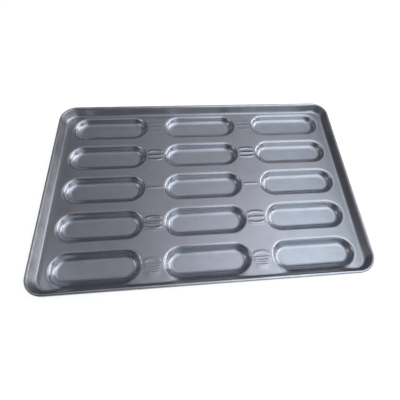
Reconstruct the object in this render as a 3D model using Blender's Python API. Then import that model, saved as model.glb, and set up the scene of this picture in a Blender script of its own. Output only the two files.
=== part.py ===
"""A hot dog bun pan: one tray pressed from aluminised steel sheet, with fifteen
oval moulds in three columns and five rows, and the steel wire its rim is rolled on.

Lengths are in metres. +X runs along the pan's long side and along the moulds,
+Y runs to the back row, +Z is up. The pan stands on its mould floors, at z = 0.
"""

import math

import bmesh
import bpy

# The sheet that the whole tray is pressed from
SHEET_THICKNESS = 0.0008

# The moulds: straight sides, half-round ends, a flat floor
MOULD_COLUMNS = 3
MOULD_ROWS = 5
MOULD_FLOOR_LENGTH = 0.1381
MOULD_FLOOR_WIDTH = 0.0310
MOULD_DEPTH = 0.0130
MOULD_WALL_SLOPE = math.radians(58.0)
MOULD_LIP_RADIUS = 0.0085
MOULD_FLOOR_RADIUS = 0.0125

# The flat deck between the moulds, and from the outer moulds to the side wall
COLUMN_GAP = 0.0366
ROW_GAP = 0.0165
END_MARGIN = 0.0089
SIDE_MARGIN = 0.0010
DECK_CORNER_RADIUS = 0.0215

# The stiffening beads across each gap between two mould ends
BEAD_HEIGHT = 0.0007
BEAD_WIDTH = 0.0056
BEAD_END_CLEARANCE = 0.0020
BEAD_SPACING = 0.0110
BEAD_BOW_SHARE = 0.28
BEADS_IN_BACK_ROWS = (-1, 0, 1)
BEADS_IN_MIDDLE_ROW = (0,)
BEADS_IN_FRONT_ROW = (-2, -1, 0, 1)

# The side wall, and the edge rolled outwards round the wire
RIM_HEIGHT = 0.0200
WALL_SLOPE = math.radians(66.0)
WALL_FOOT_RADIUS = 0.0040
WIRE_DIAMETER = 0.0040
WIRE_CLEARANCE = 0.00035
WIRE_BUTT_GAP = 0.0005
ROLL_END_CLEARANCE = 0.0006

# How finely the round stretches are cut
MOULD_END_SEGMENTS = 8
MOULD_RADIUS_SEGMENTS = 2
CORNER_SEGMENTS = 6
WALL_FOOT_SEGMENTS = 3
ROLL_SEGMENTS = 11
BEAD_SEGMENTS = 4
WIRE_BEVEL_RESOLUTION = 3
SHARP_EDGE_ANGLE = math.radians(40.0)

# Sizes that follow from those above
MOULD_RADII = MOULD_LIP_RADIUS + MOULD_FLOOR_RADIUS
MOULD_STRAIGHT_DROP = MOULD_DEPTH - MOULD_RADII * (1.0 - math.cos(MOULD_WALL_SLOPE))
MOULD_WALL_RUN = (
    MOULD_RADII * math.sin(MOULD_WALL_SLOPE)
    + MOULD_STRAIGHT_DROP / math.tan(MOULD_WALL_SLOPE)
)
MOULD_LENGTH = MOULD_FLOOR_LENGTH + 2.0 * MOULD_WALL_RUN
MOULD_WIDTH = MOULD_FLOOR_WIDTH + 2.0 * MOULD_WALL_RUN
MOULD_HALF_STRAIGHT = (MOULD_FLOOR_LENGTH - MOULD_FLOOR_WIDTH) / 2.0
COLUMN_PITCH = MOULD_LENGTH + COLUMN_GAP
ROW_PITCH = MOULD_WIDTH + ROW_GAP
DECK_HALF_LENGTH = (MOULD_COLUMNS - 1) / 2.0 * COLUMN_PITCH + MOULD_LENGTH / 2.0 + END_MARGIN
DECK_HALF_WIDTH = (MOULD_ROWS - 1) / 2.0 * ROW_PITCH + MOULD_WIDTH / 2.0 + SIDE_MARGIN
DECK_HEIGHT = SHEET_THICKNESS + MOULD_DEPTH
ROLL_RADIUS = WIRE_DIAMETER / 2.0 + WIRE_CLEARANCE + SHEET_THICKNESS
WIRE_HEIGHT = RIM_HEIGHT - ROLL_RADIUS

# The wall leaves its foot radius here and meets the rolled rim there
WALL_START_OUT = WALL_FOOT_RADIUS * math.sin(WALL_SLOPE)
WALL_START_UP = WALL_FOOT_RADIUS * (1.0 - math.cos(WALL_SLOPE))
WALL_END_UP = WIRE_HEIGHT + ROLL_RADIUS * math.cos(WALL_SLOPE)
WALL_END_OUT = WALL_START_OUT + (WALL_END_UP - WALL_START_UP) / math.tan(WALL_SLOPE)
WIRE_OUT = WALL_END_OUT + ROLL_RADIUS * math.sin(WALL_SLOPE)

# The roll stops short of the wall's outer face by its end clearance
ROLL_OPENING = math.acos(
    (ROLL_RADIUS - SHEET_THICKNESS - ROLL_END_CLEARANCE) / ROLL_RADIUS
)
ROLL_START = math.pi / 2.0 + WALL_SLOPE
ROLL_END = ROLL_START - 2.0 * math.pi + ROLL_OPENING


def arc(centre, radius, start, end, segments):
    """Points on an arc in a profile's plane, both ends included."""
    points = []
    for step in range(segments + 1):
        angle = start + (end - start) * step / segments
        points.append(
            (centre[0] + radius * math.cos(angle), centre[1] + radius * math.sin(angle))
        )
    return points


def mould_profile():
    """(how far in from the lip's outer line, how far below the deck), from deck to floor."""
    up = math.pi / 2.0
    lip = arc(
        (0.0, -MOULD_LIP_RADIUS), MOULD_LIP_RADIUS, up, up - MOULD_WALL_SLOPE, MOULD_RADIUS_SEGMENTS
    )
    foot = arc(
        (MOULD_WALL_RUN, MOULD_FLOOR_RADIUS - MOULD_DEPTH),
        MOULD_FLOOR_RADIUS,
        -up - MOULD_WALL_SLOPE,
        -up,
        MOULD_RADIUS_SEGMENTS,
    )
    return lip + foot


def wall_profile():
    """(how far out from the deck's edge, how far above the deck), from deck to rolled end."""
    down = -math.pi / 2.0
    foot = arc(
        (0.0, WALL_FOOT_RADIUS), WALL_FOOT_RADIUS, down, down + WALL_SLOPE, WALL_FOOT_SEGMENTS
    )
    roll = arc((WIRE_OUT, WIRE_HEIGHT), ROLL_RADIUS, ROLL_START, ROLL_END, ROLL_SEGMENTS)
    return foot + roll


def stadium_points(centre_x, centre_y, radius, height):
    """A mould's outline at one depth, anticlockwise from the right end's front."""
    points = []
    for end, first_angle in ((1.0, -math.pi / 2.0), (-1.0, math.pi / 2.0)):
        middle = (centre_x + end * MOULD_HALF_STRAIGHT, centre_y)
        turn = arc(middle, radius, first_angle, first_angle + math.pi, MOULD_END_SEGMENTS)
        points += [(x, y, height) for x, y in turn]
    return points


def rounded_rectangle_points(out, height):
    """The deck's outline moved out by a distance, anticlockwise from the front right corner."""
    middle_x = DECK_HALF_LENGTH - DECK_CORNER_RADIUS
    middle_y = DECK_HALF_WIDTH - DECK_CORNER_RADIUS
    corners = ((1.0, -1.0), (1.0, 1.0), (-1.0, 1.0), (-1.0, -1.0))
    points = []
    for quarter, (side_x, side_y) in enumerate(corners):
        first_angle = (quarter - 1) * math.pi / 2.0
        middle = (side_x * middle_x, side_y * middle_y)
        turn = arc(
            middle,
            DECK_CORNER_RADIUS + out,
            first_angle,
            first_angle + math.pi / 2.0,
            CORNER_SEGMENTS,
        )
        points += [(x, y, height) for x, y in turn]
    return points


def ring_of(mesh, points):
    return [mesh.verts.new(point) for point in points]


def join_rings(mesh, first, second):
    """A band of quads between two rings with as many points."""
    for here in range(len(first)):
        after = (here + 1) % len(first)
        mesh.faces.new((first[here], first[after], second[after], second[here]))


def ring_edges(mesh, ring):
    return [
        mesh.edges.get((ring[here], ring[(here + 1) % len(ring)])) for here in range(len(ring))
    ]


def add_mould(mesh, centre_x, centre_y):
    """One mould, from its lip to its floor. It gives the edges where it meets the deck."""
    rings = []
    for inset, rise in mould_profile():
        radius = MOULD_WIDTH / 2.0 - inset
        points = stadium_points(centre_x, centre_y, radius, DECK_HEIGHT + rise)
        rings.append(ring_of(mesh, points))
    for outer, inner in zip(rings, rings[1:]):
        join_rings(mesh, outer, inner)
    mesh.faces.new(rings[-1])
    return ring_edges(mesh, rings[0])


def add_bead(mesh, centre_x, row_y, place):
    """One raised bead across a gap, bowed away from the row's middle. It gives its outline's edges."""
    half_length = COLUMN_GAP / 2.0 - BEAD_END_CLEARANCE
    crest, front, back = [], [], []
    for step in range(BEAD_SEGMENTS + 1):
        along = 2.0 * step / BEAD_SEGMENTS - 1.0
        swell = 1.0 - along * along
        x = centre_x + along * half_length
        y = row_y + place * BEAD_SPACING * (1.0 + BEAD_BOW_SHARE * swell)
        half_width = BEAD_WIDTH / 2.0 * math.sqrt(swell)
        if step in (0, BEAD_SEGMENTS):
            tip = mesh.verts.new((x, y, DECK_HEIGHT))
            crest.append(tip)
            front.append(tip)
            back.append(tip)
        else:
            crest.append(mesh.verts.new((x, y, DECK_HEIGHT + BEAD_HEIGHT)))
            front.append(mesh.verts.new((x, y - half_width, DECK_HEIGHT)))
            back.append(mesh.verts.new((x, y + half_width, DECK_HEIGHT)))
    for side in (front, back):
        for step in range(BEAD_SEGMENTS):
            corners = (side[step], side[step + 1], crest[step + 1], crest[step])
            mesh.faces.new(tuple(dict.fromkeys(corners)))
    outline = front + back[-2:0:-1]
    return ring_edges(mesh, outline)


def beads_in_row(row):
    """The places of a row's beads, counted from the row's middle line; row 0 is the front one."""
    if row == 0:
        return BEADS_IN_FRONT_ROW
    if row == (MOULD_ROWS - 1) // 2:
        return BEADS_IN_MIDDLE_ROW
    return BEADS_IN_BACK_ROWS


def add_wall_and_roll(mesh):
    """The side wall and the rolled edge, all round. It gives the edges where it meets the deck."""
    rings = [
        ring_of(mesh, rounded_rectangle_points(out, DECK_HEIGHT + rise))
        for out, rise in wall_profile()
    ]
    for inner, outer in zip(rings, rings[1:]):
        join_rings(mesh, inner, outer)
    return ring_edges(mesh, rings[0])


def fill_deck(mesh, edges):
    """The flat deck between the outline and the moulds' and beads' own outlines."""
    bmesh.ops.triangle_fill(mesh, use_beauty=True, edges=edges, normal=(0.0, 0.0, 1.0))


def face_up(mesh):
    """Turns every face of the sheet the same way, with the deck facing up."""
    bmesh.ops.recalc_face_normals(mesh, faces=mesh.faces)
    mesh.normal_update()
    widest = max(mesh.faces, key=lambda face: face.calc_area() * abs(face.normal.z))
    if widest.normal.z < 0.0:
        bmesh.ops.reverse_faces(mesh, faces=mesh.faces)


def metal(name, colour, roughness):
    """A bare metal finish."""
    material = bpy.data.materials.new(name)
    material.use_nodes = True
    shader = material.node_tree.nodes["Principled BSDF"]
    shader.inputs["Base Color"].default_value = (*colour, 1.0)
    shader.inputs["Roughness"].default_value = roughness
    shader.inputs["Metallic"].default_value = 1.0
    material.diffuse_color = (*colour, 1.0)
    return material


def make_pan_sheet():
    """The pressed tray: deck, moulds, beads, side wall and rolled rim, in one sheet."""
    mesh = bmesh.new()
    deck_edges = add_wall_and_roll(mesh)
    for row in range(MOULD_ROWS):
        row_y = (row - (MOULD_ROWS - 1) / 2.0) * ROW_PITCH
        for column in range(MOULD_COLUMNS):
            column_x = (column - (MOULD_COLUMNS - 1) / 2.0) * COLUMN_PITCH
            deck_edges += add_mould(mesh, column_x, row_y)
        for gap in range(MOULD_COLUMNS - 1):
            gap_x = (gap - (MOULD_COLUMNS - 2) / 2.0) * COLUMN_PITCH
            for place in beads_in_row(row):
                deck_edges += add_bead(mesh, gap_x, row_y, place)
    fill_deck(mesh, deck_edges)
    face_up(mesh)

    data = bpy.data.meshes.new("pan_sheet")
    mesh.to_mesh(data)
    mesh.free()
    data.shade_smooth()
    data.set_sharp_from_angle(angle=SHARP_EDGE_ANGLE)
    data.materials.append(metal("aluminised_steel", (0.50, 0.51, 0.55), 0.34))

    sheet = bpy.data.objects.new("pan_sheet", data)
    bpy.context.scene.collection.objects.link(sheet)
    thickness = sheet.modifiers.new("sheet_thickness", "SOLIDIFY")
    thickness.thickness = SHEET_THICKNESS
    thickness.offset = -1.0
    thickness.use_even_offset = True
    return sheet


def wire_points():
    """The wire's route round the rim, open where its two ends butt in the middle of the back."""
    ring = rounded_rectangle_points(WIRE_OUT, DECK_HEIGHT + WIRE_HEIGHT)
    back_y = DECK_HALF_WIDTH + WIRE_OUT
    height = DECK_HEIGHT + WIRE_HEIGHT
    half_gap = WIRE_BUTT_GAP / 2.0
    front_and_right = 2 * (CORNER_SEGMENTS + 1)
    return (
        [(-half_gap, back_y, height)]
        + ring[front_and_right:]
        + ring[:front_and_right]
        + [(half_gap, back_y, height)]
    )


def make_rim_wire():
    """The round steel wire that stiffens the rim, bent to its outline."""
    data = bpy.data.curves.new("rim_wire", "CURVE")
    data.dimensions = "3D"
    data.bevel_depth = WIRE_DIAMETER / 2.0
    data.bevel_resolution = WIRE_BEVEL_RESOLUTION
    data.use_fill_caps = True
    points = wire_points()
    spline = data.splines.new("POLY")
    spline.points.add(len(points) - 1)
    for target, (x, y, z) in zip(spline.points, points):
        target.co = (x, y, z, 1.0)
    data.materials.append(metal("galvanised_wire", (0.60, 0.61, 0.62), 0.45))

    wire = bpy.data.objects.new("rim_wire", data)
    bpy.context.scene.collection.objects.link(wire)
    return wire


def clear_scene():
    for existing in list(bpy.data.objects):
        bpy.data.objects.remove(existing, do_unlink=True)


clear_scene()
make_pan_sheet()
make_rim_wire()
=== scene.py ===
# A hot dog bun pan as it looks: one tray pressed from aluminised steel, rolled round
# a rim wire, on a white studio floor. Lengths are in metres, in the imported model's frame.
import math

import bmesh
import bpy
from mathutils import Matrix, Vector


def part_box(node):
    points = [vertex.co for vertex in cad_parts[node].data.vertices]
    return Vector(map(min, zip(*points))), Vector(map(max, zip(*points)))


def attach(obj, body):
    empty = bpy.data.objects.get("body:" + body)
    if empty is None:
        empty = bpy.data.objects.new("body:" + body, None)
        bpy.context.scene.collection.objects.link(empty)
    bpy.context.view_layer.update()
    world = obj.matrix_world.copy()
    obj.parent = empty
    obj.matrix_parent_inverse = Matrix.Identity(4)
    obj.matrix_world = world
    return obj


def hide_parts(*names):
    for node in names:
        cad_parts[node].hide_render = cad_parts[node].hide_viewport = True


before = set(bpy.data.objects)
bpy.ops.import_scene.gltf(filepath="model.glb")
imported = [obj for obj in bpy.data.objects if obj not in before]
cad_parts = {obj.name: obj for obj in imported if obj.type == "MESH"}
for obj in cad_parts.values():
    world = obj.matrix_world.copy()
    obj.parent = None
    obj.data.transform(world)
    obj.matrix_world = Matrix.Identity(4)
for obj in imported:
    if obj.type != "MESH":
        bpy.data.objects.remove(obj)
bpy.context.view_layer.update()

# The tray's side wall and rolled rim
# The blank's edge is turned up as a low, leaning wall, and rolled outwards and under
# round a steel wire, so that the rim is stiff and has no sharp edge to lift it by. The
# press left a tight foot along the left wall, and a wide one along the others.
SHEET_THICKNESS = 0.0008
DECK_HEIGHT = 0.0138
DECK_CORNER_RADIUS = 0.0215
DECK_EDGE_BORDER = 0.0004
RIM_REACH = 0.0167
ROLL_RADIUS = 0.00315
ROLL_END_CLEARANCE = 0.0006
# The wide-footed wall has a soft shoulder under the roll. Within this reach of a corner,
# the foot widens and the shoulder fades away.
WALL_TOP_SLOPE = math.radians(76.0)
SHOULDER_RADIUS = 0.0052
CORNER_REACH = 0.034
# The left wall's tight foot, and where it fades out before the front and back walls
TIGHT_FOOT_OUT = 0.0036
TIGHT_FOOT_RADIUS = 0.0020
TIGHT_FOOT_SLOPE = math.radians(70.0)
TIGHT_WALL_BEND = 0.0090
TIGHT_FOOT_FRONT_END = (0.012, 0.026)
TIGHT_FOOT_BACK_END = (0.018, 0.050)
# The wall is fully drawn from this height up, and the roll only this much
DRAWN_HEIGHT = 0.01
ROLL_DRAWN = 0.25
# The rim's top is painted brighter, a painted highlight that stands for handling wear too:
# how much, from which share of the roll's radius above the wire's middle, and how fast it
# fades over the outside. The short sides mostly get none of it.
RIM_WEAR_AND_HIGHLIGHT = 3.5
RIM_WEAR_AND_HIGHLIGHT_START = 0.3
RIM_WEAR_AND_HIGHLIGHT_FADE = 6
SHORT_SIDE_SPARED = 0.9
SHORT_SIDE_START = (0.002, 0.020)
# How much the wall and its shoulder are browned, part oven residue and part painted shade
# that darkens them under the roll. The roll has it in full, as painted shade on its outer
# side, except where its top is painted bright.
WALL_RESIDUE_AND_SHADE = 0.5
SHOULDER_SHADE_AND_RESIDUE = 0.9
# How finely the sides and the round stretches are cut
CORNER_STEPS = 14
LONG_SIDE_STEPS = 46
SHORT_SIDE_STEPS = 32
WALL_STEPS = 24
ROLL_STEPS = 26
FINE_STEPS = 40
TIGHT_FOOT_STEPS = 16

sheet_low, sheet_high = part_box("pan_sheet")
wire_up = sheet_high.z - DECK_HEIGHT - ROLL_RADIUS
wire_out = RIM_REACH - ROLL_RADIUS
deck_half_length = (sheet_high.x - sheet_low.x) / 2.0 - RIM_REACH
deck_half_width = (sheet_high.y - sheet_low.y) / 2.0 - RIM_REACH

tray = bmesh.new()
# Written on each point: how far round its ring it lies, how hard the press drew the metal
# there, how much wear and painted highlight brighten it, and how much oven residue and
# painted shade brown it
around_layer = tray.verts.layers.float.new("around")
drawn_layer = tray.verts.layers.float.new("drawn")
wear_and_highlight_layer = tray.verts.layers.float.new("wear_and_highlight")
residue_and_shade_layer = tray.verts.layers.float.new("residue_and_shade")


def eased(value, low, high):
    """0 below low, 1 above high, with a smooth rise between."""
    share = min(1.0, max(0.0, (value - low) / (high - low)))
    return share * share * (3.0 - 2.0 * share)


def part_way(first, last, share):
    """The point that lies this share of the way from one point to another."""
    return tuple(a + (b - a) * share for a, b in zip(first, last))


def between(first, last, steps):
    """The points strictly between two points, evenly spaced."""
    return [part_way(first, last, step / steps) for step in range(1, steps)]


def arc(middle, radius, start, end, steps):
    """Points on an arc, both ends included."""
    points = []
    for step in range(steps + 1):
        angle = start + (end - start) * step / steps
        points.append((middle[0] + radius * math.cos(angle), middle[1] + radius * math.sin(angle)))
    return points


def evened(points, steps):
    """The same line cut into steps of one length."""
    lengths = [math.dist(here, after) for here, after in zip(points, points[1:])]
    step_length = sum(lengths) / steps
    cut = [points[0]]
    gone = 0.0
    for here, after, length in zip(points, points[1:], lengths):
        while len(cut) < steps and gone + length >= step_length * len(cut):
            cut.append(part_way(here, after, (step_length * len(cut) - gone) / length))
        gone += length
    return cut + [points[-1]]


def closed_outline(turns, side_steps):
    """Joins round turns by straight sides cut into steps, into one closed outline."""
    points = []
    for index, turn in enumerate(turns):
        following = turns[(index + 1) % len(turns)]
        points += turn + between(turn[-1], following[0], side_steps[index])
    return points


def wall_outline(out):
    """The deck's outline moved out, anticlockwise from the front right corner."""
    middle_x = deck_half_length - DECK_CORNER_RADIUS
    middle_y = deck_half_width - DECK_CORNER_RADIUS
    turns = []
    for quarter, (side_x, side_y) in enumerate(((1, -1), (1, 1), (-1, 1), (-1, -1))):
        start = (quarter - 1) * math.pi / 2.0
        corner = (side_x * middle_x, side_y * middle_y)
        radius = DECK_CORNER_RADIUS + out
        turns.append(arc(corner, radius, start, start + math.pi / 2.0, CORNER_STEPS))
    return closed_outline(turns, (SHORT_SIDE_STEPS, LONG_SIDE_STEPS) * 2)


def distances_round(outline):
    """How far each point lies from the outline's first point, the shorter way round."""
    total = 0.0
    gone = []
    for here, after in zip(outline, outline[1:] + outline[:1]):
        gone.append(total)
        total += math.dist(here, after)
    return [min(distance, total - distance) for distance in gone]


def add_ring(outline, heights, distances, drawn, wear_and_highlight):
    """A ring of points of the tray, each at its own height."""
    ring = []
    for (x, y), height, distance in zip(outline, heights, distances):
        point = tray.verts.new((x, y, height))
        point[around_layer] = distance
        point[drawn_layer] = drawn
        point[wear_and_highlight_layer] = wear_and_highlight
        ring.append(point)
    return ring


def join_rings(first, second):
    """A band of sheet between two rings with as many points."""
    for here in range(len(first)):
        after = (here + 1) % len(first)
        tray.faces.new((first[here], first[after], second[after], second[here]))


def edges_of(ring):
    """The tray's edges along a closed ring of points."""
    return [tray.edges.get((here, after)) for here, after in zip(ring, ring[1:] + ring[:1])]


def wide_foot_wall(shoulder_radius):
    """(out, up) from the deck's edge to the roll's top: a wide foot, straight, a shoulder."""
    upright = math.pi / 2.0
    middle = (wire_out, wire_up + ROLL_RADIUS - shoulder_radius)
    shoulder = arc(middle, shoulder_radius, upright + WALL_TOP_SLOPE, upright, FINE_STEPS)
    wall_end_out, wall_end_up = shoulder[0]
    left_over = wall_end_out - wall_end_up / math.tan(WALL_TOP_SLOPE)
    foot_radius = left_over / math.tan(WALL_TOP_SLOPE / 2.0)
    middle = (0.0, foot_radius)
    foot = arc(middle, foot_radius, -upright, -upright + WALL_TOP_SLOPE, FINE_STEPS)
    return evened(foot + shoulder, WALL_STEPS)


def tight_foot_wall():
    """(out, up) from the deck's edge to the roll's top: a tight foot, then bent up."""
    upright = math.pi / 2.0
    middle = (TIGHT_FOOT_OUT, TIGHT_FOOT_RADIUS)
    foot = arc(middle, TIGHT_FOOT_RADIUS, -upright, -upright + TIGHT_FOOT_SLOPE, TIGHT_FOOT_STEPS)
    bend = (
        foot[-1][0] + TIGHT_WALL_BEND * math.cos(TIGHT_FOOT_SLOPE),
        foot[-1][1] + TIGHT_WALL_BEND * math.sin(TIGHT_FOOT_SLOPE),
    )
    shoulder = arc((wire_out, wire_up), ROLL_RADIUS, upright + WALL_TOP_SLOPE, upright, FINE_STEPS)
    points = [(0.0, 0.0)] + foot
    for step in range(1, FINE_STEPS + 1):
        share = step / FINE_STEPS
        to_bend = part_way(foot[-1], bend, share)
        from_bend = part_way(bend, shoulder[0], share)
        points.append(part_way(to_bend, from_bend, share))
    return evened(points + shoulder[1:], WALL_STEPS)


def roll_profile():
    """(out, up, wear and painted highlight) from the roll's top over the wire and under."""
    opening = math.acos((ROLL_RADIUS - SHEET_THICKNESS - ROLL_END_CLEARANCE) / ROLL_RADIUS)
    start = math.pi / 2.0
    end = start + WALL_TOP_SLOPE - 2.0 * math.pi + opening
    profile = []
    for out, up in arc((wire_out, wire_up), ROLL_RADIUS, start, end, ROLL_STEPS):
        top_wear_and_highlight = max(0.0, (up - wire_up) / ROLL_RADIUS) ** RIM_WEAR_AND_HIGHLIGHT_FADE
        profile.append((out, up, top_wear_and_highlight))
    return profile[1:]


# For each point round the wall: how much of the tight foot, of a corner and of a short
# side it has
wall_foot_line = wall_outline(0.0)
wall_distances = distances_round(wall_foot_line)
tight_shares = []
corner_shares = []
short_side_shares = []
for x, y in wall_foot_line:
    to_short_side = deck_half_length - abs(x)
    to_long_side = deck_half_width - abs(y)
    tight_foot_end = TIGHT_FOOT_FRONT_END if y < 0.0 else TIGHT_FOOT_BACK_END
    tight_shares.append(eased(to_long_side, *tight_foot_end) if x < 0.0 else 0.0)
    along = 1.0 - eased(to_short_side, DECK_CORNER_RADIUS, CORNER_REACH)
    across = 1.0 - eased(to_long_side, DECK_CORNER_RADIUS, CORNER_REACH)
    corner_shares.append(along * across)
    short_side_shares.append(1.0 - eased(to_short_side, *SHORT_SIDE_START))


def paint_rim_wear_highlight_and_shade(ring, top_wear_and_highlight, residue_and_shade):
    """Paints the rim's ring bright (painted highlight and wear), mostly on the long sides, and brown
    (residue and painted shade), less where the long sides are painted bright.
    """
    for point, short_side in zip(ring, short_side_shares):
        point[wear_and_highlight_layer] = RIM_WEAR_AND_HIGHLIGHT * top_wear_and_highlight * (1.0 - SHORT_SIDE_SPARED * short_side)
        point[residue_and_shade_layer] = residue_and_shade * (1.0 - top_wear_and_highlight * (1.0 - short_side))


deck_heights = [DECK_HEIGHT] * len(wall_foot_line)
deck_outline = wall_outline(-DECK_EDGE_BORDER)
wall_rings = [add_ring(deck_outline, deck_heights, wall_distances, 0.0, 0.0)]
walls = (wide_foot_wall(SHOULDER_RADIUS), wide_foot_wall(ROLL_RADIUS), tight_foot_wall())
for wide, corner, tight in zip(*walls):
    outline = []
    heights = []
    places = [wall_outline(out) for out, up in (wide, corner, tight)]
    for at_side, at_corner, at_left, corner_share, tight_share in zip(
        *places, corner_shares, tight_shares
    ):
        turned = part_way((*at_side, wide[1]), (*at_corner, corner[1]), corner_share)
        x, y, up = part_way(turned, (*at_left, tight[1]), tight_share)
        outline.append((x, y))
        heights.append(DECK_HEIGHT + up)
    drawn = eased(wide[1], 0.0, DRAWN_HEIGHT)
    # How much painted highlight, standing for wear too, the ring gets towards the roll's top
    top_wear_and_highlight = eased(wide[1], wire_up + RIM_WEAR_AND_HIGHLIGHT_START * ROLL_RADIUS, wire_up + ROLL_RADIUS)
    wall_rings.append(add_ring(outline, heights, wall_distances, drawn, 0.0))
    # The wall is browned up its height as residue and painted shade, and its shoulder as painted
    # shade
    paint_rim_wear_highlight_and_shade(wall_rings[-1], top_wear_and_highlight, max(WALL_RESIDUE_AND_SHADE * drawn, SHOULDER_SHADE_AND_RESIDUE * top_wear_and_highlight))
# The roll: painted bright on top as a highlight and wear, and browned elsewhere as painted shade and
# residue
for out, up, top_wear_and_highlight in roll_profile():
    heights = [DECK_HEIGHT + up] * len(wall_foot_line)
    wall_rings.append(add_ring(wall_outline(out), heights, wall_distances, ROLL_DRAWN, 0.0))
    paint_rim_wear_highlight_and_shade(wall_rings[-1], top_wear_and_highlight, 1.0)
for inner, outer in zip(wall_rings, wall_rings[1:]):
    join_rings(inner, outer)
deck_edges = edges_of(wall_rings[0])

# The moulds
# Fifteen shallow ovals, three columns by five rows, drawn into the sheet by one press:
# a wide rounded lip, a short steep wall, a wide rounded foot and a flat floor for one bun.
MOULD_COLUMNS = 3
MOULD_ROWS = 5
MOULD_FLOOR_LENGTH = 0.1381
MOULD_FLOOR_WIDTH = 0.0310
MOULD_DEPTH = 0.0130
MOULD_WALL_SLOPE = math.radians(58.0)
MOULD_LIP_RADIUS = 0.0085
MOULD_FLOOR_RADIUS = 0.0125
COLUMN_GAP = 0.0366
ROW_GAP = 0.0165
MOULD_BORDER = 0.0004
FLOOR_BORDERS = (0.0006, 0.0040)
MOULD_END_STEPS = 28
MOULD_SIDE_STEPS = 10
MOULD_RADIUS_STEPS = 7
MOULD_WALL_STEPS = 3
# How hard the press drew each part of a mould, and how much the buns have rubbed it
LIP_MARKS = (0.4, 1.0)
MOULD_WALL_MARKS = (1.0, 0.2)
FOOT_MARKS = (0.7, 0.0)
FLAT_MARKS = (0.0, 0.0)

mould_radii = MOULD_LIP_RADIUS + MOULD_FLOOR_RADIUS
mould_straight_drop = MOULD_DEPTH - mould_radii * (1.0 - math.cos(MOULD_WALL_SLOPE))
mould_wall_run = (
    mould_radii * math.sin(MOULD_WALL_SLOPE) + mould_straight_drop / math.tan(MOULD_WALL_SLOPE)
)
mould_width = MOULD_FLOOR_WIDTH + 2.0 * mould_wall_run
mould_half_straight = (MOULD_FLOOR_LENGTH - MOULD_FLOOR_WIDTH) / 2.0
column_pitch = MOULD_FLOOR_LENGTH + 2.0 * mould_wall_run + COLUMN_GAP
row_pitch = mould_width + ROW_GAP
column_places = [(i - (MOULD_COLUMNS - 1) / 2.0) * column_pitch for i in range(MOULD_COLUMNS)]
row_places = [(i - (MOULD_ROWS - 1) / 2.0) * row_pitch for i in range(MOULD_ROWS)]


def mould_profile():
    """(in from the lip's outer line, up, drawn, rubbed) from the deck to the floor."""
    upright = math.pi / 2.0
    middle = (0.0, -MOULD_LIP_RADIUS)
    lip = arc(middle, MOULD_LIP_RADIUS, upright, upright - MOULD_WALL_SLOPE, MOULD_RADIUS_STEPS)
    middle = (mould_wall_run, MOULD_FLOOR_RADIUS - MOULD_DEPTH)
    foot = arc(middle, MOULD_FLOOR_RADIUS, -upright - MOULD_WALL_SLOPE, -upright, MOULD_RADIUS_STEPS)
    wall = between(lip[-1], foot[0], MOULD_WALL_STEPS)
    floor_edge = [(mould_wall_run + border, -MOULD_DEPTH) for border in FLOOR_BORDERS]
    profile = [(-MOULD_BORDER, 0.0, *FLAT_MARKS)]
    profile += [(*point, *LIP_MARKS) for point in lip]
    profile += [(*point, *MOULD_WALL_MARKS) for point in wall]
    profile += [(*point, *FOOT_MARKS) for point in foot]
    profile += [(*point, *FLAT_MARKS) for point in floor_edge]
    return profile


def mould_outline(middle_x, middle_y, inset):
    """The mould's outline moved in, anticlockwise from the right end's front."""
    radius = mould_width / 2.0 - inset
    turns = []
    for side, start in ((1.0, -math.pi / 2.0), (-1.0, math.pi / 2.0)):
        end_middle = (middle_x + side * mould_half_straight, middle_y)
        turns.append(arc(end_middle, radius, start, start + math.pi, MOULD_END_STEPS))
    return closed_outline(turns, (MOULD_SIDE_STEPS, MOULD_SIDE_STEPS))


for row_y in row_places:
    for column_x in column_places:
        mould_distances = distances_round(mould_outline(column_x, row_y, 0.0))
        mould_rings = []
        for inset, rise, drawn, wear_and_highlight in mould_profile():
            outline = mould_outline(column_x, row_y, inset)
            heights = [DECK_HEIGHT + rise] * len(outline)
            mould_rings.append(add_ring(outline, heights, mould_distances, drawn, wear_and_highlight))
        for outer, inner in zip(mould_rings, mould_rings[1:]):
            join_rings(outer, inner)
        tray.faces.new(mould_rings[-1])
        deck_edges += edges_of(mould_rings[0])

# The stiffening beads
# Low ripples pressed up across each gap between two mould ends, bowed like an eye round
# the row's middle. They keep the narrow bridge of sheet from oil-canning in the oven.
# A bead is (place from the row's middle, bow, height, reach to the front and to the back).
FRONT_ROW_BEADS = (
    (0.0038, 0.0046, 0.0012, 0.0032, 0.0080),
    (-0.0022, 0.0, 0.0009, 0.0024, 0.0036),
    (-0.0048, -0.0030, 0.0011, 0.0024, 0.0026),
    (-0.0086, -0.0042, 0.0008, 0.0024, 0.0026),
    (-0.0126, -0.0050, 0.0011, 0.0150, 0.0030),
)
SECOND_ROW_BEADS = (
    (0.0100, 0.0036, 0.0013, 0.0028, 0.0060),
    (-0.0004, 0.0, 0.0013, 0.0026, 0.0070),
    (-0.0088, -0.0036, 0.0013, 0.0028, 0.0052),
    (-0.0140, -0.0022, 0.0005, 0.0036, 0.0030),
)
MIDDLE_ROW_BEADS = ((-0.0008, 0.0, 0.0008, 0.0040, 0.0050),)
FOURTH_ROW_BEADS = (
    (0.0098, 0.0034, 0.0010, 0.0028, 0.0060),
    (-0.0006, 0.0, 0.0011, 0.0026, 0.0070),
    (-0.0092, -0.0034, 0.0011, 0.0028, 0.0056),
)
BACK_ROW_BEADS = (
    (0.0096, 0.0026, 0.0003, 0.0040, 0.0050),
    (0.0, 0.0, 0.0003, 0.0040, 0.0050),
    (-0.0100, -0.0028, 0.0003, 0.0040, 0.0050),
)
BEADS_BY_ROW = (
    FRONT_ROW_BEADS,
    SECOND_ROW_BEADS,
    MIDDLE_ROW_BEADS,
    FOURTH_ROW_BEADS,
    BACK_ROW_BEADS,
)
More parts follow.
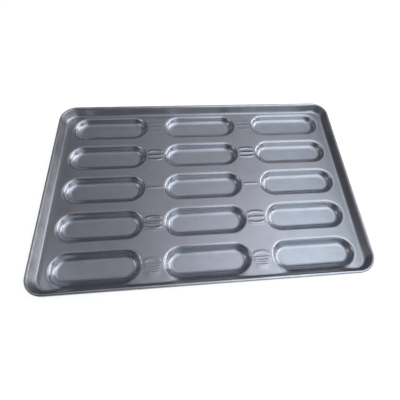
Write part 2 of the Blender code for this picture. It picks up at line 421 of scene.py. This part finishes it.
# The front row's left gap was pressed lower: this share of the right gap's height
FRONT_LEFT_BEADS = 0.6
# A bead runs out at its ends over this length, or over this share of a longer front slope
BEAD_ENDS = 0.0030
LONG_SLOPE_ENDS = 0.8
# The patch of deck that holds a gap's beads
BEAD_PATCH_MARGIN = 0.0012
BEAD_PATCH_REACH = 0.0200
FRONT_PATCH_REACH = 0.0345
BEAD_PATCH_COLUMNS = 14
BEAD_PATCH_STEP = 0.0006
# How much a bead's crest is painted brighter, a painted highlight that stands for wear too, for each
# metre that it stands up
BEAD_WEAR_AND_HIGHLIGHT = 1500.0

patch_half_length = COLUMN_GAP / 2.0 - MOULD_BORDER - BEAD_PATCH_MARGIN / 2.0
gap_places = [(a + b) / 2.0 for a, b in zip(column_places, column_places[1:])]


def bead_rise(across_x, across_y, beads, pressed):
    """How far the beads lift the deck at a point, measured from the gap's and row's middles."""
    along = abs(across_x) / patch_half_length
    to_end = patch_half_length - abs(across_x)
    rise = 0.0
    for place, bow, height, front_reach, back_reach in beads:
        off = across_y - place - bow * (1.0 - along * along)
        reach = back_reach if off > 0.0 else front_reach
        if abs(off) < reach:
            fade = eased(to_end, 0.0, max(BEAD_ENDS, LONG_SLOPE_ENDS * front_reach))
            rise += pressed * fade * height * math.cos(math.pi / 2.0 * off / reach) ** 2
    return rise


def add_bead_patch(gap_x, row_y, front_reach, beads, pressed):
    """A rectangle of deck with its own fine grid and its beads. It gives its outline's edges."""
    columns = BEAD_PATCH_COLUMNS
    rows = round((front_reach + BEAD_PATCH_REACH) / BEAD_PATCH_STEP)
    grid = []
    for j in range(rows + 1):
        across_y = -front_reach + (front_reach + BEAD_PATCH_REACH) * j / rows
        line = []
        for i in range(columns + 1):
            across_x = patch_half_length * (2.0 * i / columns - 1.0)
            inside = 0 < i < columns and 0 < j < rows
            rise = bead_rise(across_x, across_y, beads, pressed) if inside else 0.0
            point = tray.verts.new((gap_x + across_x, row_y + across_y, DECK_HEIGHT + rise))
            # The crest is painted brighter by its height: painted highlight and wear
            point[wear_and_highlight_layer] = rise * BEAD_WEAR_AND_HIGHLIGHT
            line.append(point)
        grid.append(line)
    for lower, upper in zip(grid, grid[1:]):
        for i in range(columns):
            tray.faces.new((lower[i], lower[i + 1], upper[i + 1], upper[i]))
    outline = grid[0][:-1] + [line[-1] for line in grid[:-1]]
    outline += grid[-1][:0:-1] + [line[0] for line in grid[:0:-1]]
    return edges_of(outline)


for row_y, beads in zip(row_places, BEADS_BY_ROW):
    in_front_row = row_y == row_places[0]
    front_reach = FRONT_PATCH_REACH if in_front_row else BEAD_PATCH_REACH
    for gap_x in gap_places:
        pressed = FRONT_LEFT_BEADS if in_front_row and gap_x < 0.0 else 1.0
        deck_edges += add_bead_patch(gap_x, row_y, front_reach, beads, pressed)

# The deck
# The flat sheet left between the moulds, the beads and the wall. Drawing the outer moulds
# pulled the strip of deck between them and the long walls down, in front more than behind.
STRIP_PULL = 0.0030
BACK_STRIP_PULL = 0.0003
# How far from a mould's middle, along the row, the pull begins to fade and has ended
STRIP_PULL_FULL = 0.052
STRIP_PULL_END = 0.076
# How far past a mould's lip, towards the wall, it begins to fade and has ended
STRIP_PULL_FROM = -0.0040
STRIP_PULL_TO = 0.0055
SHARP_ANGLE = math.radians(50.0)

bmesh.ops.triangle_fill(tray, use_beauty=True, edges=deck_edges, normal=(0.0, 0.0, 1.0))
bmesh.ops.recalc_face_normals(tray, faces=tray.faces)
tray.normal_update()
widest = max(tray.faces, key=lambda face: face.calc_area() * abs(face.normal.z))
if widest.normal.z < 0.0:
    bmesh.ops.reverse_faces(tray, faces=tray.faces)

lip_line = row_places[-1] + mould_width / 2.0
for point in tray.verts:
    nearest = min(abs(point.co.x - column_x) for column_x in column_places)
    beside_mould = 1.0 - eased(nearest, STRIP_PULL_FULL, STRIP_PULL_END)
    to_lip = eased(abs(point.co.y), row_places[-1], lip_line)
    past_lip = eased(abs(point.co.y) - lip_line, STRIP_PULL_FROM, STRIP_PULL_TO)
    pull = STRIP_PULL if point.co.y < 0.0 else BACK_STRIP_PULL
    above_floor = eased(point.co.z, DECK_HEIGHT - MOULD_DEPTH, DECK_HEIGHT)
    point.co.z -= pull * beside_mould * to_lip * (1.0 - past_lip) * above_floor

tray_mesh = bpy.data.meshes.new("pressed_tray")
tray.to_mesh(tray_mesh)
tray.free()
tray_mesh.shade_smooth()
tray_mesh.set_sharp_from_angle(angle=SHARP_ANGLE)
pressed_tray = bpy.data.objects.new("pressed_tray", tray_mesh)
bpy.context.scene.collection.objects.link(pressed_tray)
gauge = pressed_tray.modifiers.new("sheet_thickness", "SOLIDIFY")
gauge.thickness = SHEET_THICKNESS
gauge.offset = -1.0
gauge.use_even_offset = True

# The tray's finish
# Hot-dip aluminised steel: a satin grey skin with a fine grain, rolled lengthwise, drawn
# into faint streaks on the walls, and rubbed brighter on the lips. The beads' crests and the
# rim's top are painted brighter, a painted highlight that stands for wear too.
# The colour is bluer at the mould floors and a little darker and mauver from the deck up,
# and the rolled edge is browned, part oven residue and part painted shade.
STEEL_DARK = (0.45, 0.455, 0.48)
STEEL_LIGHT = (0.55, 0.555, 0.58)
STEEL_WORN_AND_HIGHLIGHT = (0.80, 0.805, 0.82)
STEEL_TONES = (0.25, 0.75, 1.0)
FLOOR_TINT = (1.0, 1.02, 1.045)
DECK_TINT = (0.962, 0.952, 0.965)
SHADE_AND_RESIDUE_BROWN = (0.36, 0.34, 0.31)
# The scales of the patterns: blotches, rolling grain, fine grain, streaks, and residue and painted
# shade
MOTTLE_SCALE = 38.0
ROLLING_SCALE = (18.0, 420.0, 420.0)
FINE_SCALE = 1500.0
STREAK_SCALE = (520.0, 1.0, 1.0)
RESIDUE_SCALE = 170.0
# How much each pattern counts in the tone, and how much wear and painted highlight lighten it
MOTTLE_TONE = 0.6
ROLLING_TONE = 0.4
STREAK_TONE = 0.35
WEAR_AND_HIGHLIGHT_TONE = 0.12
# The roughness and its grain, how much wear smooths it and how much residue dulls it
STEEL_ROUGHNESS = (0.27, 0.36)
GRAIN_ROUGHNESS = 0.5
WEAR_SMOOTHING = -0.04
RESIDUE_DULLING = 0.16
# What a noise pattern mostly lies between, and its middle
NOISE_RANGE = (0.3, 0.7)
NOISE_MIDDLE = 0.5
# How much residue and painted shade the thinnest and the thickest blotches have, and how much it
# colours
SHADE_AND_RESIDUE_BLOTCHES = (0.3, 1.0)
SHADE_AND_RESIDUE_COLOURING = 0.9
# How high each pattern stands in the bump
FINE_BUMP = 0.25
ROLLING_BUMP = 0.3
STREAK_BUMP = 0.9
STEEL_BUMP_STRENGTH = 0.35
STEEL_BUMP_HEIGHT = 0.00006


def node(material, kind, **settings):
    """A shader node with its settings made."""
    made = material.node_tree.nodes.new(kind)
    for name, value in settings.items():
        setattr(made, name, value)
    return made


def link(material, source, target):
    """Joins an output to an input."""
    material.node_tree.links.new(source, target)


def attribute(material, name):
    """What was written on the tray's points under this name."""
    return node(material, "ShaderNodeAttribute", attribute_name=name).outputs["Fac"]


def grain(material, vector, scale, detail=3.0, rough=0.55):
    """A noise pattern read at a scaled vector, from 0 to 1."""
    made = node(material, "ShaderNodeTexNoise")
    made.inputs["Scale"].default_value = scale
    made.inputs["Detail"].default_value = detail
    made.inputs["Roughness"].default_value = rough
    link(material, vector, made.inputs["Vector"])
    return made.outputs["Fac"]


def stretched_grain(material, vector, scales):
    """A noise pattern with its three axes scaled apart, so that it runs into streaks."""
    made = node(material, "ShaderNodeMapping")
    made.inputs["Scale"].default_value = scales
    link(material, vector, made.inputs["Vector"])
    return grain(material, made.outputs["Vector"], 1.0)


def spread(material, value, from_range, to_range):
    """The value's range stretched to another, without going past its ends."""
    made = node(material, "ShaderNodeMapRange")
    numbers = (*from_range, *to_range)
    for socket, number in zip(("From Min", "From Max", "To Min", "To Max"), numbers):
        made.inputs[socket].default_value = number
    link(material, value, made.inputs["Value"])
    return made.outputs["Result"]


def combined(material, operation, first, second):
    """Two values, or a value and a number, put together."""
    made = node(material, "ShaderNodeMath", operation=operation)
    for index, value in enumerate((first, second)):
        if isinstance(value, float):
            made.inputs[index].default_value = value
        else:
            link(material, value, made.inputs[index])
    return made.outputs[0]


def sum_of(material, *weighed):
    """The sum of values, each given with how much it counts."""
    total = None
    for value, weight in weighed:
        counted = combined(material, "MULTIPLY", value, weight)
        total = counted if total is None else combined(material, "ADD", total, counted)
    return total


def mixed(material, share, first, second, blend="MIX"):
    """Two colours mixed by a share. Each is an output or a plain colour."""
    made = node(material, "ShaderNodeMixRGB", blend_type=blend)
    for socket, value in zip(("Fac", "Color1", "Color2"), (share, first, second)):
        if isinstance(value, float):
            made.inputs[socket].default_value = value
        elif isinstance(value, tuple):
            made.inputs[socket].default_value = (*value, 1.0)
        else:
            link(material, value, made.inputs[socket])
    return made.outputs["Color"]


def ramp(material, value, places, colours):
    """The colour for a value, from colours at places between 0 and 1."""
    made = node(material, "ShaderNodeValToRGB")
    stops = made.color_ramp.elements
    while len(stops) < len(places):
        stops.new(1.0)
    for stop, place, colour in zip(stops, places, colours):
        stop.position = place
        stop.color = (*colour, 1.0)
    link(material, value, made.inputs["Fac"])
    return made.outputs["Color"]


def metal(name):
    """A metal's material, its shader, and where a point lies on the object."""
    material = bpy.data.materials.new(name)
    material.use_nodes = True
    shader = material.node_tree.nodes["Principled BSDF"]
    shader.inputs["Metallic"].default_value = 1.0
    return material, shader, node(material, "ShaderNodeTexCoord").outputs["Object"]


def add_bump(material, shader, height, strength, distance):
    """Lets a pattern stand up from the surface by so much."""
    bump = node(material, "ShaderNodeBump")
    bump.inputs["Strength"].default_value = strength
    bump.inputs["Distance"].default_value = distance
    link(material, height, bump.inputs["Height"])
    link(material, bump.outputs["Normal"], shader.inputs["Normal"])


def steel_finish():
    """The satin finish of the aluminised sheet."""
    steel, shader, place = metal("aluminised_steel")
    wear_and_highlight = attribute(steel, "wear_and_highlight")
    mottle = grain(steel, place, MOTTLE_SCALE, detail=4.0)
    rolling = stretched_grain(steel, place, ROLLING_SCALE)
    fine = grain(steel, place, FINE_SCALE, detail=2.0)
    run = node(steel, "ShaderNodeCombineXYZ")
    link(steel, attribute(steel, "around"), run.inputs["X"])
    streaks = stretched_grain(steel, run.outputs["Vector"], STREAK_SCALE)
    streaks = combined(steel, "SUBTRACT", streaks, NOISE_MIDDLE)
    streaks = combined(steel, "MULTIPLY", streaks, attribute(steel, "drawn"))
    # Blotches of residue and painted shade, as much as the points were browned
    blotched_residue_and_shade = grain(steel, place, RESIDUE_SCALE, detail=4.0)
    blotched_residue_and_shade = spread(steel, blotched_residue_and_shade, NOISE_RANGE, SHADE_AND_RESIDUE_BLOTCHES)
    blotched_residue_and_shade = combined(steel, "MULTIPLY", attribute(steel, "residue_and_shade"), blotched_residue_and_shade)

    tone = sum_of(
        steel,
        (mottle, MOTTLE_TONE),
        (rolling, ROLLING_TONE),
        (streaks, STREAK_TONE),
        (wear_and_highlight, WEAR_AND_HIGHLIGHT_TONE),
    )
    # Wear and painted highlight lift the tone towards the brightest colour
    colour = ramp(steel, tone, STEEL_TONES, (STEEL_DARK, STEEL_LIGHT, STEEL_WORN_AND_HIGHLIGHT))
    axes = node(steel, "ShaderNodeSeparateXYZ")
    link(steel, place, axes.inputs["Vector"])
    # The colour is tinted by height: bluer on the mould floors, a little darker and mauver from the
    # deck up
    from_floor_to_deck = (DECK_HEIGHT - MOULD_DEPTH, DECK_HEIGHT)
    above_floor = spread(steel, axes.outputs["Z"], from_floor_to_deck, (0.0, 1.0))
    tint = mixed(steel, above_floor, FLOOR_TINT, DECK_TINT)
    colour = mixed(steel, 1.0, colour, tint, "MULTIPLY")
    # Residue and painted shade brown the colour
    shade_and_browning = combined(steel, "MULTIPLY", blotched_residue_and_shade, SHADE_AND_RESIDUE_COLOURING)
    link(steel, mixed(steel, shade_and_browning, colour, SHADE_AND_RESIDUE_BROWN), shader.inputs["Base Color"])

    dull = sum_of(steel, (rolling, GRAIN_ROUGHNESS), (fine, GRAIN_ROUGHNESS))
    dull = spread(steel, dull, NOISE_RANGE, STEEL_ROUGHNESS)
    dull = sum_of(steel, (dull, 1.0), (wear_and_highlight, WEAR_SMOOTHING), (blotched_residue_and_shade, RESIDUE_DULLING))
    link(steel, dull, shader.inputs["Roughness"])

    height = sum_of(steel, (fine, FINE_BUMP), (rolling, ROLLING_BUMP), (streaks, STREAK_BUMP))
    add_bump(steel, shader, height, STEEL_BUMP_STRENGTH, STEEL_BUMP_HEIGHT)
    return steel


tray_mesh.materials.append(steel_finish())
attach(pressed_tray, "root")
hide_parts("pan_sheet")

# The rim wire
# One length of 4 mm galvanised steel wire, laid in the rim before the sheet is rolled
# over it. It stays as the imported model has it, and only gets its dull zinc skin here.
ZINC_DARK = (0.50, 0.51, 0.52)
ZINC_LIGHT = (0.66, 0.67, 0.68)
ZINC_TONES = (0.0, 1.0)
ZINC_ROUGHNESS = (0.40, 0.55)
ZINC_BLOTCH_SCALE = 260.0
ZINC_GRAIN_SCALE = 900.0
ZINC_BUMP_STRENGTH = 0.4
ZINC_BUMP_HEIGHT = 0.00004


def zinc_finish():
    """The dull, blotched zinc of galvanised wire."""
    zinc, shader, place = metal("galvanised_wire")
    blotch = grain(zinc, place, ZINC_BLOTCH_SCALE)
    colour = ramp(zinc, blotch, ZINC_TONES, (ZINC_DARK, ZINC_LIGHT))
    link(zinc, colour, shader.inputs["Base Color"])
    link(zinc, spread(zinc, blotch, NOISE_RANGE, ZINC_ROUGHNESS), shader.inputs["Roughness"])
    height = grain(zinc, place, ZINC_GRAIN_SCALE)
    add_bump(zinc, shader, height, ZINC_BUMP_STRENGTH, ZINC_BUMP_HEIGHT)
    return zinc


rim_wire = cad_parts["rim_wire"]
rim_wire.data.materials.clear()
rim_wire.data.materials.append(zinc_finish())

# The studio floor
# A plain white sheet of board that the pan stands on. It takes the pan's shadow, and it
# glows to the camera and in the steel, so that it shows white without more light.
FLOOR_SIZE = 8.0
FLOOR_COLOUR = (0.60, 0.60, 0.60, 1.0)
FLOOR_ROUGHNESS = 0.9
FLOOR_GLOW = 0.76
WHITE_GLOW = (1.0, 1.0, 1.0, 1.0)

half = FLOOR_SIZE / 2.0
floor_corners = [(-half, -half, 0.0), (half, -half, 0.0), (half, half, 0.0), (-half, half, 0.0)]
floor_mesh = bpy.data.meshes.new("studio_floor")
floor_mesh.from_pydata(floor_corners, [], [(0, 1, 2, 3)])
floor = bpy.data.objects.new("studio_floor", floor_mesh)
bpy.context.scene.collection.objects.link(floor)
board = bpy.data.materials.new("white_board")
board.use_nodes = True
board_shader = board.node_tree.nodes["Principled BSDF"]
board_shader.inputs["Base Color"].default_value = FLOOR_COLOUR
board_shader.inputs["Roughness"].default_value = FLOOR_ROUGHNESS
board_shader.inputs["Specular IOR Level"].default_value = 0.0
board_shader.inputs["Emission Color"].default_value = WHITE_GLOW
rays = node(board, "ShaderNodeLightPath")
seen = combined(board, "ADD", rays.outputs["Is Camera Ray"], rays.outputs["Is Glossy Ray"])
seen = combined(board, "ADD", seen, rays.outputs["Is Transmission Ray"])
glow = combined(board, "MULTIPLY", seen, FLOOR_GLOW)
link(board, glow, board_shader.inputs["Emission Strength"])
floor_mesh.materials.append(board)

# The studio light
# Soft white panels under the ceiling, dimmer to the back and the left, with a bright one
# high on the right. Upright ones stand on that side, and dimmer ones in front and on the
# left, with one small bright one. The room behind them is dim.
COOL_LIGHT = (0.92, 1.0, 1.11)
MAUVE_LIGHT = (0.98, 0.98, 1.09)
SKY_LIGHT = (0.89, 1.0, 1.10)
WHITE_LIGHT = (0.98, 0.99, 1.03)
ROOM_LIGHT = (0.85, 0.95, 1.20, 1.0)
ROOM_DIM = 0.06
DOWN = (0, 0, -1)
TO_THE_LEFT = (-1, 0, 0)
TO_THE_RIGHT = (1, 0, 0)
TO_THE_BACK = (0, 1, 0)


def soft_lamp(name, place, facing, size, strength, colour):
    """A rectangular soft lamp. Its strength is the brightness of its face, 1 being white."""
    lamp = bpy.data.lights.new(name, "AREA")
    lamp.shape = "RECTANGLE"
    lamp.size, lamp.size_y = size
    lamp.energy = strength * math.pi * size[0] * size[1]
    lamp.color = colour
    stand = bpy.data.objects.new(name, lamp)
    stand.location = place
    stand.rotation_euler = Vector(facing).to_track_quat("-Z", "Y").to_euler()
    bpy.context.scene.collection.objects.link(stand)


soft_lamp("lamp_over_front", (0.3, -0.8, 1.6), DOWN, (0.6, 1.6), 1.2, COOL_LIGHT)
soft_lamp("lamp_over_front_right", (0.9, -0.8, 1.6), DOWN, (0.6, 1.6), 1.22, SKY_LIGHT)
soft_lamp("lamp_over_middle", (0.3, 0.4, 1.6), DOWN, (0.6, 0.8), 0.81, MAUVE_LIGHT)
soft_lamp("lamp_over_middle_right", (0.9, 0.4, 1.6), DOWN, (0.6, 0.8), 0.82, SKY_LIGHT)
soft_lamp("lamp_over_right", (0.85, 0.8, 1.59), DOWN, (0.8, 1.6), 0.38, SKY_LIGHT)
soft_lamp("lamp_over_back", (0.4, 1.6, 1.6), DOWN, (1.6, 1.6), 0.38, WHITE_LIGHT)
soft_lamp("lamp_over_centre", (-0.2, 0.0, 1.6), DOWN, (0.4, 1.6), 0.52, MAUVE_LIGHT)
soft_lamp("lamp_over_left", (-0.8, 0.8, 1.6), DOWN, (0.8, 3.2), 0.22, WHITE_LIGHT)
soft_lamp("lamp_over_front_left", (-0.8, -0.8, 1.6), DOWN, (0.8, 1.6), 0.06, WHITE_LIGHT)
soft_lamp("lamp_high_right", (1.5, -0.4, 1.6), DOWN, (1.0, 0.8), 3.6, WHITE_LIGHT)
soft_lamp("lamp_right", (2.0, 0.8, 1.2), TO_THE_LEFT, (1.6, 0.8), 2.9, WHITE_LIGHT)
soft_lamp("lamp_low_right", (2.0, 0.4, 0.6), TO_THE_LEFT, (2.4, 0.4), 2.0, WHITE_LIGHT)
soft_lamp("lamp_front", (1.2, -1.6, 0.6), TO_THE_BACK, (1.6, 1.2), 0.75, SKY_LIGHT)
soft_lamp("lamp_front_left", (-0.05, -1.6, 0.5), TO_THE_BACK, (1.0, 1.0), 0.38, COOL_LIGHT)
soft_lamp("lamp_low_left", (-1.8, 0.2, 0.5), TO_THE_RIGHT, (2.4, 0.9), 0.14, WHITE_LIGHT)
soft_lamp("lamp_left", (-1.2, 0.05, 1.15), TO_THE_RIGHT, (0.5, 0.5), 2.4, WHITE_LIGHT)

world = bpy.data.worlds.new("studio_room")
bpy.context.scene.world = world
world.use_nodes = True
world.node_tree.nodes["Background"].inputs["Color"].default_value = ROOM_LIGHT
world.node_tree.nodes["Background"].inputs["Strength"].default_value = ROOM_DIM

# The camera
# It stands in front of the pan, a little left of its middle, and looks steeply down.
CAMERA_PLACE = (-0.0137, -0.3652, 0.5775)
CAMERA_TURN = (27.76, -3.61, -5.26)
CAMERA_LENS = 26.95
CAMERA_SENSOR = 36.0
CAMERA_SHIFT = (-0.0707, 0.0315)
CAMERA_NEAREST = 0.01
CAMERA_FARTHEST = 50.0

camera_data = bpy.data.cameras.new("camera")
camera_data.sensor_width = CAMERA_SENSOR
camera_data.lens = CAMERA_LENS
camera_data.shift_x, camera_data.shift_y = CAMERA_SHIFT
camera_data.clip_start = CAMERA_NEAREST
camera_data.clip_end = CAMERA_FARTHEST
camera = bpy.data.objects.new("camera", camera_data)
camera.location = CAMERA_PLACE
camera.rotation_euler = [math.radians(angle) for angle in CAMERA_TURN]
bpy.context.scene.collection.objects.link(camera)
bpy.context.scene.camera = camera
bpy.context.scene.view_settings.view_transform = "Standard"
